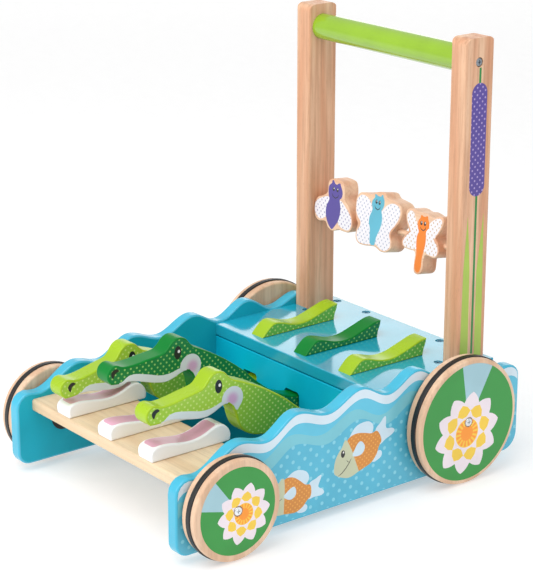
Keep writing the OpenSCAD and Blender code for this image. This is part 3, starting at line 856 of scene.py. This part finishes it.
def print_alligators():
    edges = {
        "light": paint("lime_edge", LIME, 0.24, 0.1, 0.35),
        "dark": paint("green_edge", GREEN, 0.3, 0.04, 0.2),
    }
    flats = {
        "light": alligator_side("lime_side", srgb(164, 208, 60), srgb(106, 186, 60), srgb(206, 232, 128)),
        "dark": alligator_side("green_side", srgb(0, 124, 60), srgb(0, 124, 60), srgb(150, 205, 110)),
    }
    for side, tone in TONES.items():
        swing = Matrix.Rotation(math.radians(-HEAD_LIFT[side]), 4, "X")
        pose = Matrix.Translation(HEAD_PIVOT) @ swing @ Matrix.Translation(-HEAD_PIVOT)
        head = Board("alligator_" + side, ACROSS_Y, pose)
        shift = Vector(PRINT_SHIFTS[side])
        shapes = [(material, [Vector(point) + shift for point in loop]) for material, loop in HEAD_SHAPES]
        printed(head, HEAD_EASE, edges[tone], [(flats[tone], shapes)] * 2, shapes[0])
        tail = Board("tail_" + side, ACROSS_Y, AT_REST)
        printed(tail, TAIL_EASE, edges[tone], [(flats[tone], [])] * 2)
        jaw = Board("lower_jaw_" + side, ACROSS_Y, AT_REST)
        white = jaw_paint("jaw_white_" + side, JAW_PLACE[side], srgb(252, 251, 252), srgb(236, 176, 200))
        printed(jaw, JAW_EASE, white, [(white, [])] * 2)


# ---- insects: body, wings, face, from the rod ----

BUG_EASE = 1.0
INSECTS = {
    "bee": {
        "colour": srgb(80, 64, 150), "dash": srgb(110, 104, 160),
        "wings": [
            [(-80, 12), (-85.5, 15.3), (-93.6, 12.9), (-102.2, 8.5), (-106.5, 3), (-106.5, -2.7),
             (-103.5, -8), (-98.4, -11), (-92.3, -10.4), (-86, -6.3), (-78, 0)],
            [(-70, 12), (-65.8, 14.9), (-61.1, 13), (-56.2, 9.6), (-50.5, 4.9), (-46, -0.9), (-45.3, -7.6),
             (-48, -13.2), (-52.5, -14.8), (-58.6, -14.2), (-65.7, -11.4), (-72, 0)],
        ],
        "body": [(-75.8, -18.7), (-81, -15.8), (-85.5, -9.9), (-87.9, -2.4), (-87.3, 4.8), (-83.6, 12.5),
                 (-85.2, 17.2), (-86, 22.8), (-85, 27.6), (-81.3, 30.9), (-80.7, 33.6), (-79.2, 34.6),
                 (-77.8, 33.8), (-76.1, 31.5), (-73, 30.7), (-69.7, 32.7), (-67.4, 32.6), (-66.4, 30.6),
                 (-64.4, 27.6), (-62.6, 23), (-63.9, 17.8), (-66.6, 15.2), (-64.8, 8.7), (-64.3, 1.9),
                 (-66.2, -6.5), (-70.7, -13.5)],
        "eyes": [(-77.6, 25.0), (-71.4, 25.1)],
        "smile": [(-80, 19.8), (-78.1, 17.2), (-74.2, 15.6), (-70.6, 17.3), (-68.7, 20.2)],
    },
    "butterfly": {
        "colour": srgb(92, 178, 202), "dash": srgb(134, 146, 176),
        "wings": [
            [(-10, 12), (-15.7, 16.6), (-18.1, 20.9), (-23.5, 25.6), (-31.2, 27.6), (-37, 25.7),
             (-40.6, 20.6), (-40.8, 14.6), (-39.4, 8.2), (-35.8, 3.2), (-30.9, -0.9), (-30.9, -6.3),
             (-33.8, -11.1), (-33.6, -16.9), (-30, -22), (-23.9, -22.9), (-16.9, -22.2), (-10, -19), (-8, 0)],
            [(-6, 12), (0, 17.2), (3.2, 21.7), (9.3, 26.2), (16, 28.2), (23.3, 26.6), (26.9, 22.1),
             (26.6, 15.4), (22.8, 7.4), (16.7, -0.3), (15.7, -5.3), (18.3, -10.5), (18.9, -17.1),
             (14.1, -22), (7.7, -22.9), (0.8, -20.6), (-5, -16), (-6, 0)],
        ],
        "body": [(-7, -21.2), (-9.9, -21.4), (-12.6, -17.7), (-13.6, -12.1), (-15, -4.6), (-17.6, 0.6),
                 (-17.9, 7.4), (-15.7, 13.7), (-15.4, 16.7), (-17.4, 21.1), (-16.9, 25.1), (-14, 28.8),
                 (-14.4, 31.4), (-13, 32.4), (-11, 31.6), (-7.4, 31), (-5, 31.6), (-3.6, 33.4), (-1.9, 33.4),
                 (-1.1, 31.4), (1.1, 28), (1.7, 23.3), (0.3, 19.2), (-1, 16.5), (1.2, 10.7), (1.8, 4.1),
                 (-0.2, -4.1), (-3.1, -10.6), (-3.9, -16.6), (-4.4, -20.4)],
        "eyes": [(-10.7, 24.7), (-5.7, 24.6)],
        "smile": [(-12.5, 20.2), (-10.5, 17.8), (-7.4, 16.7), (-4.6, 18.3), (-3.7, 20.7)],
    },
    "dragonfly": {
        "colour": srgb(236, 124, 12), "dash": srgb(190, 140, 66),
        "wings": [
            [(62, 2), (50, 2), (46, 5), (45.8, 8.5), (42.4, 13.4), (39.2, 18.8), (40, 25), (43.4, 27.6),
             (47.9, 26.7), (50.9, 22.2), (55.4, 16.5), (60, 13)],
            [(62, 7), (54, 8), (48, 7), (45.5, 4.8), (41.2, 0.8), (37.2, -6), (39.8, -10.2),
             (45.7, -11), (53.6, -10.5), (60, -7.6)],
            [(67, 15), (71.9, 19.3), (77, 24.2), (84.2, 28.3), (89.4, 27.4), (90.2, 23), (88, 16.9),
             (83.8, 9.2), (82, 5), (87.3, 0.5), (89, -4.6), (87.9, -9.6), (83.3, -11.2), (75.6, -11),
             (69, -8.4), (66, 0)],
        ],
        "body": [(63.4, -33), (60, -30.8), (58.4, -25.6), (59, -16.9), (58.4, -10.3), (56.9, -2.1),
                 (57, 4.6), (58.5, 8.7), (56.2, 13.9), (56, 19.5), (58.7, 23.5), (58.8, 25.6),
                 (60.3, 26.6), (62.6, 25.7), (65.9, 26), (67.5, 27), (69.3, 26.9), (70, 24.5),
                 (72.4, 20.4), (72.6, 15.7), (69.4, 11.2), (70.2, 4.8), (70.5, -1.8), (69.2, -9.6),
                 (68, -17.5), (68.2, -26), (66.6, -31.2)],
        "eyes": [(60.9, 18.5), (66.2, 18.8)],
        "smile": [(60, 14.3), (62, 11.9), (65.3, 11.4), (67.6, 13.4), (68.3, 15.7)],
    },
}


def print_insects():
    grain = wood("insect_wood", WOOD_PALE, WOOD_DARK, "x")
    for name, insect in INSECTS.items():
        body = ink(name + "_body", insect["colour"])
        wings = wing_ink(name + "_wings", insect["dash"])
        shapes = [(wings, smooth(loop)) for loop in insect["wings"]] + [(body, smooth(insect["body"]))]
        for x, z in insect["eyes"]:
            shapes.append((LINE_BLACK, ellipse((x, z), 1.7, 2.3, 16)))
            shapes.append((SPOT_WHITE, ellipse((x + 0.3, z + 0.6), 0.75, 0.95, 10)))
            shapes.append((LINE_BLACK, ellipse((x + 0.1, z + 0.1), 0.45, 0.6, 8)))
        shapes.append((LINE_BLACK, stroke(insect["smile"], 1.0)))
        tilt = Matrix.Rotation(math.radians(-BUG_TILT[name]), 4, "X")
        board = Board(name, ACROSS_X, Matrix.Translation(BUG_ROD) @ tilt)
        printed(board, BUG_EASE, grain, [(grain, shapes)] * 2)


# ---- wheels: water lily on a leaf ----

# (turn in degrees, radius) of one petal, one yellow kite and the leaf's cut, round the flower's middle
PETALS = 10
PETAL_RIM = [(-18, 23.4), (-13, 25.8), (-8, 27.8), (-3.5, 29.3), (0, 30.2),
             (3.5, 29.3), (8, 27.8), (13, 25.8)]
KITES = 8
KITE_RIM = [(0, 22), (12, 19.8), (22.3, 16.6), (9, 12.5), (-9, 12.5), (-22.3, 16.6), (-12, 19.8)]
NOTCH_RIM = [(-14.5, 27), (-17, 60), (17, 60), (14.5, 27)]
RAYS = 16
RAY_START = 3
RAY_END = 10.2
RAY_SPREAD = 6.5
CORE_RADIUS = 10.8
HEART_RADIUS = 5.8
LEAF_RADIUS = 43
FLOWER_SHIFT = 8
SCREW_RECESS = 5.3
LEAF_GREEN = ink("leaf_green", srgb(38, 147, 55))
LEAF_WATER = ink("leaf_water", srgb(160, 200, 212))
PETAL = ink("lily_petal", srgb(238, 226, 234))
KITE = ink("lily_yellow", srgb(244, 204, 62))
CORE = ink("lily_core", srgb(250, 200, 60))
RAY = ink("lily_ray", srgb(250, 150, 30))
# direction of the leaf's cut in degrees, and size
WHEEL_PRINTS = {"front": (146, 1.0), "rear": (80, 1.425)}


def disc(centre, radius, count):
    return ellipse(centre, radius, radius, count)


def lily(centre, size, wedge):
    """The shapes of the leaf with its cut at wedge degrees, and of the flower on it."""
    flower = polar(centre, FLOWER_SHIFT * size, wedge + 180)

    def rim(turned, middle):
        return [polar(flower, radius * size, middle + turn) for turn, radius in turned]

    shapes = [
        (LEAF_GREEN, disc(centre, LEAF_RADIUS * size, 96)),
        (LEAF_WATER, [flower] + rim(NOTCH_RIM, wedge)),
    ]
    petals = []
    for i in range(PETALS):
        petals += rim(PETAL_RIM, wedge + i * 360 / PETALS)
    shapes.append((PETAL, petals))
    for i in range(KITES):
        shapes.append((KITE, rim(KITE_RIM, wedge + (i + 0.5) * 360 / KITES)))
    shapes.append((CORE, disc(flower, CORE_RADIUS * size, 48)))
    ray = [(0, RAY_START), (-RAY_SPREAD, RAY_END), (RAY_SPREAD, RAY_END)]
    for i in range(RAYS):
        shapes.append((RAY, rim(ray, wedge + i * 360 / RAYS)))
    shapes.append((RAY, disc(flower, HEART_RADIUS * size, 24)))
    return shapes


def print_wheels():
    for end, (wedge, size) in WHEEL_PRINTS.items():
        for side, sign in SIDES.items():
            node = end + "_wheel_" + side
            low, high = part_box(node)
            centre = ((low.y + high.y) / 2 / MM, (low.z + high.z) / 2 / MM)
            face = (high.x if sign > 0 else -low.x) / MM
            leaf = disc(centre, LEAF_RADIUS * size, 96)
            recess = disc(centre, SCREW_RECESS, 32)
            skin(node + "_print", node, ACROSS_Y if sign > 0 else ACROSS_Y_LEFT, face, leaf, [recess],
                 lily(centre, size, wedge))


# ---- posts: cattail and reed leaves ----

STEM_GREEN = ink("stem_green", srgb(24, 132, 56))
BLADE_GREEN = ink("blade_green", srgb(168, 198, 76))
CATTAIL = dotted_ink("cattail_purple", srgb(80, 62, 150), srgb(170, 150, 205), (7.2, 7.2), 1.0)


STEM_Y = 161.5
STEM_HALF_WIDTH = 1.4
STEM_TOP = 415.5
CATTAIL_RADIUS = 10.2
CATTAIL_TOP = 390.3
CATTAIL_BOTTOM = 296.6
PRINT_BOTTOM = 112
BLADE_LEFT = [(150.9, 268), (155.4, 212), (156.3, 130), (156.3, PRINT_BOTTOM), (145.6, PRINT_BOTTOM),
              (145.6, 130), (147, 212)]
BLADE_RIGHT = [(172.3, 268), (173.5, 208), (174.7, 126), (174.7, PRINT_BOTTOM), (165.2, PRINT_BOTTOM),
               (165.2, 126), (165, 208)]
POST_FACE = [(144, PRINT_BOTTOM), (176, PRINT_BOTTOM), (176, 416), (144, 416)]


def print_posts():
    stem = [(STEM_Y - STEM_HALF_WIDTH, PRINT_BOTTOM), (STEM_Y + STEM_HALF_WIDTH, PRINT_BOTTOM),
            (STEM_Y + STEM_HALF_WIDTH, STEM_TOP), (STEM_Y - STEM_HALF_WIDTH, STEM_TOP)]
    capsule = [polar((STEM_Y, CATTAIL_TOP), CATTAIL_RADIUS, angle) for angle in range(0, 181, 15)]
    capsule += [polar((STEM_Y, CATTAIL_BOTTOM), CATTAIL_RADIUS, angle) for angle in range(180, 361, 15)]
    shapes = [(BLADE_GREEN, BLADE_LEFT), (BLADE_GREEN, BLADE_RIGHT), (STEM_GREEN, stem), (CATTAIL, capsule)]
    for side, sign in SIDES.items():
        node = "post_" + side
        low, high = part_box(node)
        face = (high.x if sign > 0 else -low.x) / MM
        skin(node + "_print", node, ACROSS_Y if sign > 0 else ACROSS_Y_LEFT, face, POST_FACE, [], shapes)


finish_nodes()
for panel_side in SIDES:
    print_side_panel(panel_side)
print_alligators()
print_insects()
print_wheels()
print_posts()
make_camera()
make_studio()
